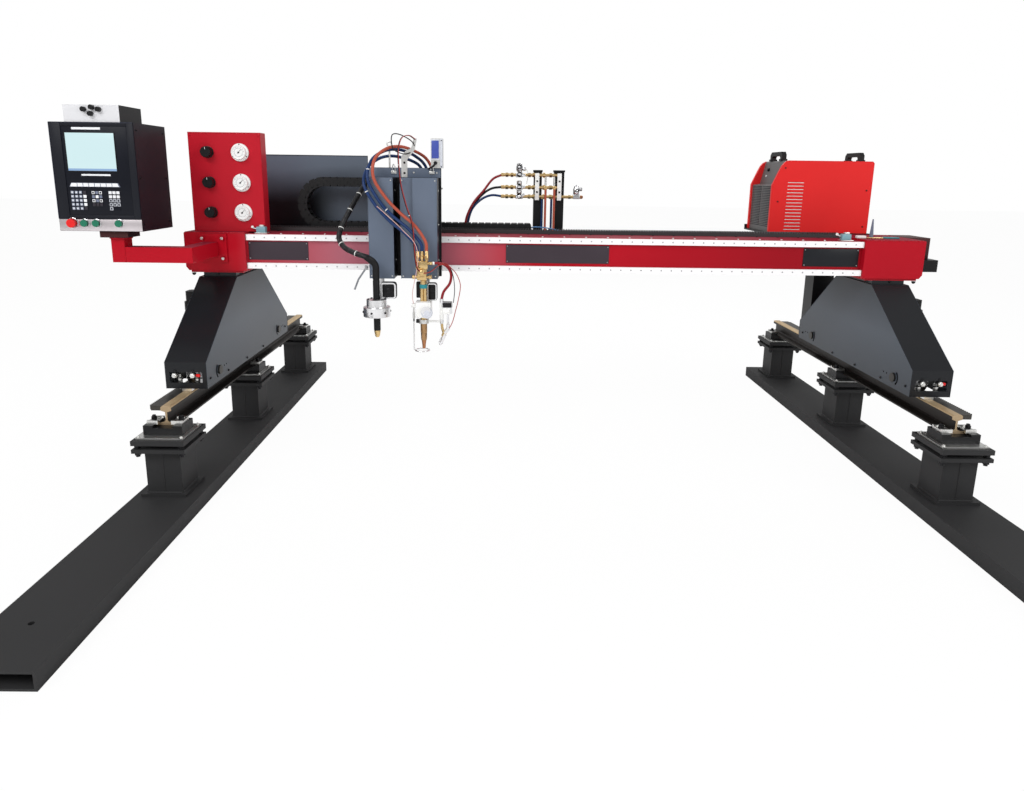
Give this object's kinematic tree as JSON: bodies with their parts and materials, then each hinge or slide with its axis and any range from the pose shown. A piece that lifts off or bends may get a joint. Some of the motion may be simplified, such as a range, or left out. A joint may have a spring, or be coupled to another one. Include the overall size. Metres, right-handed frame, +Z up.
{
  "type": "gantry cutting machine",
  "caption": "Rail-mounted gantry cutting machine with plasma and oxy-fuel torches on a crossing carriage, swivelling console, gas panel and power source",
  "frame": {"origin": "on the floor at the centre of the floor anchor pattern, midway between the two rails", "axes": "+X along the beam to the operator's right, +Y along the rails away from the operator, +Z up"},
  "size_m": [3.988, 3.1, 1.601],
  "materials": {
    "axle_steel": "machined",
    "beam_paint": "gloss red",
    "black_bolts": "blackened steel",
    "box_white": "white box",
    "bracket_paint": "black",
    "bracket_steel": "bare strap and grey box",
    "brass": "machined brass",
    "button_green": "green",
    "button_red": "red",
    "carriage_paint": "satin grey-blue",
    "case_red": "gloss red",
    "chain_plastic": "black nylon",
    "chair_paint": "black",
    "console_paint": "dark textured",
    "cover_paint": "satin blue-grey sheet",
    "floor_paint": "satin dark grey",
    "gauge_white": "white dial",
    "gear_steel": "cut teeth, oiled",
    "grille_plastic": "grey moulded panel",
    "guide_steel": "ground guide",
    "handle_plastic": "black",
    "hose_rubber": "orange, blue and black hoses",
    "insulator": "ceramic and brass",
    "knob_black": "black",
    "lead_rubber": "black lead",
    "lifter_metal": "machined holders",
    "motor_paint": "black",
    "panel_film": "dark panel film",
    "panel_red": "gloss red sheet",
    "pedestal_paint": "satin charcoal",
    "rail_steel": "worn rail head, dark sides",
    "saddle_paint": "black plate",
    "torch_black": "black torch body",
    "tray_paint": "black sheet",
    "wheel_steel": "turned wheel",
    "zinc_steel": "zinc plated"
  },
  "bodies": {
    "track": {"floor_beams": "floor_paint", "rail_pedestals": "pedestal_paint", "track_bolts": "black_bolts", "rail_chairs": "chair_paint", "rail_clips": "zinc_steel", "crane_rails": "rail_steel", "drive_racks": "gear_steel"},
    "gantry": {"end_carriages": "carriage_paint", "wheel_axles": "axle_steel", "rail_scrapers": "zinc_steel", "drive_motors": "motor_paint", "main_beam": "beam_paint", "beam_ends": "beam_paint", "cross_rails": "guide_steel", "chain_tray": "tray_paint", "chain_lower_run": "chain_plastic", "gas_panel": "panel_red", "pressure_gauges": "gauge_white", "console_arm": "beam_paint", "rear_brackets": "bracket_paint", "gas_fittings": "brass", "power_source_case": "case_red", "power_source_panels": "grille_plastic", "power_source_handles": "handle_plastic", "manifold_hoses": "hose_rubber"},
    "front_left_wheel": {"wheel_front_left": "wheel_steel"},
    "front_right_wheel": {"wheel_front_right": "wheel_steel"},
    "rear_left_wheel": {"wheel_rear_left": "wheel_steel"},
    "rear_right_wheel": {"wheel_rear_right": "wheel_steel"},
    "left_drive_pinion": {"pinion_left": "gear_steel"},
    "right_drive_pinion": {"pinion_right": "gear_steel"},
    "torch_carriage": {"saddle": "saddle_paint", "lifter_covers": "cover_paint", "cross_motor": "motor_paint", "hose_bracket": "bracket_steel", "chain_upper_run": "chain_plastic", "torch_hoses": "hose_rubber", "plasma_lead": "lead_rubber"},
    "cross_drive_pinion": {"cross_pinion": "gear_steel"},
    "moving_bend": {"chain_bend": "chain_plastic"},
    "plasma_head": {"plasma_lifter": "lifter_metal", "plasma_torch": "torch_black"},
    "oxy_head": {"oxy_lifter": "lifter_metal", "oxy_torch": "brass", "igniter": "insulator", "igniter_hose": "hose_rubber"},
    "console": {"console_case": "console_paint", "control_panel": "panel_film", "height_control_box": "box_white"},
    "stop": {"stop_button": "button_red"},
    "start_1": {"start_button_1": "button_green"},
    "start_2": {"start_button_2": "button_green"},
    "start_3": {"start_button_3": "button_green"},
    "regulator_1": {"regulator_knob_1": "knob_black"},
    "regulator_2": {"regulator_knob_2": "knob_black"},
    "regulator_3": {"regulator_knob_3": "knob_black"},
    "trim_knob_1": {"small_knob_1": "knob_black"},
    "trim_knob_2": {"small_knob_2": "knob_black"},
    "trim_knob_3": {"small_knob_3": "knob_black"},
    "trim_knob_4": {"small_knob_4": "knob_black"}
  },
  "joints": [
    {"name": "gantry_travel", "type": "slide", "parent": "track", "child": "gantry", "axis": [0, 1, 0], "range_m": [-0.25, 0.65]},
    {"name": "front_left_roll", "type": "hinge", "parent": "gantry", "child": "front_left_wheel", "pos_m": [-1.6, -0.14, 0.4807], "axis": [1, 0, 0], "continuous": true},
    {"name": "front_right_roll", "type": "hinge", "parent": "gantry", "child": "front_right_wheel", "pos_m": [1.6, -0.14, 0.4807], "axis": [1, 0, 0], "continuous": true},
    {"name": "rear_left_roll", "type": "hinge", "parent": "gantry", "child": "rear_left_wheel", "pos_m": [-1.6, 0.7, 0.4807], "axis": [1, 0, 0], "continuous": true},
    {"name": "rear_right_roll", "type": "hinge", "parent": "gantry", "child": "rear_right_wheel", "pos_m": [1.6, 0.7, 0.4807], "axis": [1, 0, 0], "continuous": true},
    {"name": "left_pinion_turn", "type": "hinge", "parent": "gantry", "child": "left_drive_pinion", "pos_m": [-1.716, 0.14, 0.402], "axis": [0, 0, 1], "continuous": true},
    {"name": "right_pinion_turn", "type": "hinge", "parent": "gantry", "child": "right_drive_pinion", "pos_m": [1.716, 0.14, 0.402], "axis": [0, 0, 1], "continuous": true},
    {"name": "cross_travel", "type": "slide", "parent": "gantry", "child": "torch_carriage", "axis": [1, 0, 0], "range_m": [-0.5, 1.9], "deforming": ["chain_upper_run", "chain_lower_run"]},
    {"name": "chain_follow", "type": "slide", "parent": "gantry", "child": "moving_bend", "axis": [1, 0, 0], "range_m": [-0.25, 0.95]},
    {"name": "cross_pinion_turn", "type": "hinge", "parent": "torch_carriage", "child": "cross_drive_pinion", "pos_m": [-0.705, 0.36, 1.124], "axis": [0, 1, 0], "continuous": true},
    {"name": "plasma_lift", "type": "slide", "parent": "torch_carriage", "child": "plasma_head", "axis": [0, 0, 1], "range_m": [-0.07, 0.08], "deforming": ["plasma_lead"]},
    {"name": "oxy_lift", "type": "slide", "parent": "torch_carriage", "child": "oxy_head", "axis": [0, 0, 1], "range_m": [-0.07, 0.08], "deforming": ["torch_hoses"]},
    {"name": "console_swivel", "type": "hinge", "parent": "gantry", "child": "console", "pos_m": [-1.894, -0.117, 1.04], "axis": [0, 0, 1], "range_deg": [-60, 60]},
    {"name": "stop_press", "type": "slide", "parent": "console", "child": "stop", "axis": [0, 1, 0], "range_m": [0, 0.004], "stiffness_N_per_m": 1500},
    {"name": "start_press_1", "type": "slide", "parent": "console", "child": "start_1", "axis": [0, 1, 0], "range_m": [0, 0.004], "stiffness_N_per_m": 1500},
    {"name": "start_press_2", "type": "slide", "parent": "console", "child": "start_2", "axis": [0, 1, 0], "range_m": [0, 0.004], "stiffness_N_per_m": 1500},
    {"name": "start_press_3", "type": "slide", "parent": "console", "child": "start_3", "axis": [0, 1, 0], "range_m": [0, 0.004], "stiffness_N_per_m": 1500},
    {"name": "regulator_turn_1", "type": "hinge", "parent": "gantry", "child": "regulator_1", "pos_m": [-1.624, 0.19, 1.154], "axis": [0, 1, 0], "range_deg": [-540, 540]},
    {"name": "regulator_turn_2", "type": "hinge", "parent": "gantry", "child": "regulator_2", "pos_m": [-1.624, 0.19, 1.292], "axis": [0, 1, 0], "range_deg": [-540, 540]},
    {"name": "regulator_turn_3", "type": "hinge", "parent": "gantry", "child": "regulator_3", "pos_m": [-1.624, 0.19, 1.43], "axis": [0, 1, 0], "range_deg": [-540, 540]},
    {"name": "trim_turn_1", "type": "hinge", "parent": "console", "child": "trim_knob_1", "pos_m": [-1.96, -0.185, 1.583], "axis": [0, 1, 0], "range_deg": [-150, 150]},
    {"name": "trim_turn_2", "type": "hinge", "parent": "console", "child": "trim_knob_2", "pos_m": [-1.926, -0.185, 1.591], "axis": [0, 1, 0], "range_deg": [-150, 150]},
    {"name": "trim_turn_3", "type": "hinge", "parent": "console", "child": "trim_knob_3", "pos_m": [-1.899, -0.185, 1.583], "axis": [0, 1, 0], "range_deg": [-150, 150]},
    {"name": "trim_turn_4", "type": "hinge", "parent": "console", "child": "trim_knob_4", "pos_m": [-1.933, -0.185, 1.566], "axis": [0, 1, 0], "range_deg": [-150, 150]}
  ],
  "couplings": [
    {"joint": "front_left_roll", "follows": "gantry_travel", "rad_per_m": -15.385},
    {"joint": "front_right_roll", "follows": "gantry_travel", "rad_per_m": -15.385},
    {"joint": "rear_left_roll", "follows": "gantry_travel", "rad_per_m": -15.385},
    {"joint": "rear_right_roll", "follows": "gantry_travel", "rad_per_m": -15.385},
    {"joint": "left_pinion_turn", "follows": "gantry_travel", "rad_per_m": -22.727},
    {"joint": "right_pinion_turn", "follows": "gantry_travel", "rad_per_m": 22.727},
    {"joint": "chain_follow", "follows": "cross_travel", "ratio": 0.5},
    {"joint": "cross_pinion_turn", "follows": "cross_travel", "rad_per_m": 22.727}
  ]
}
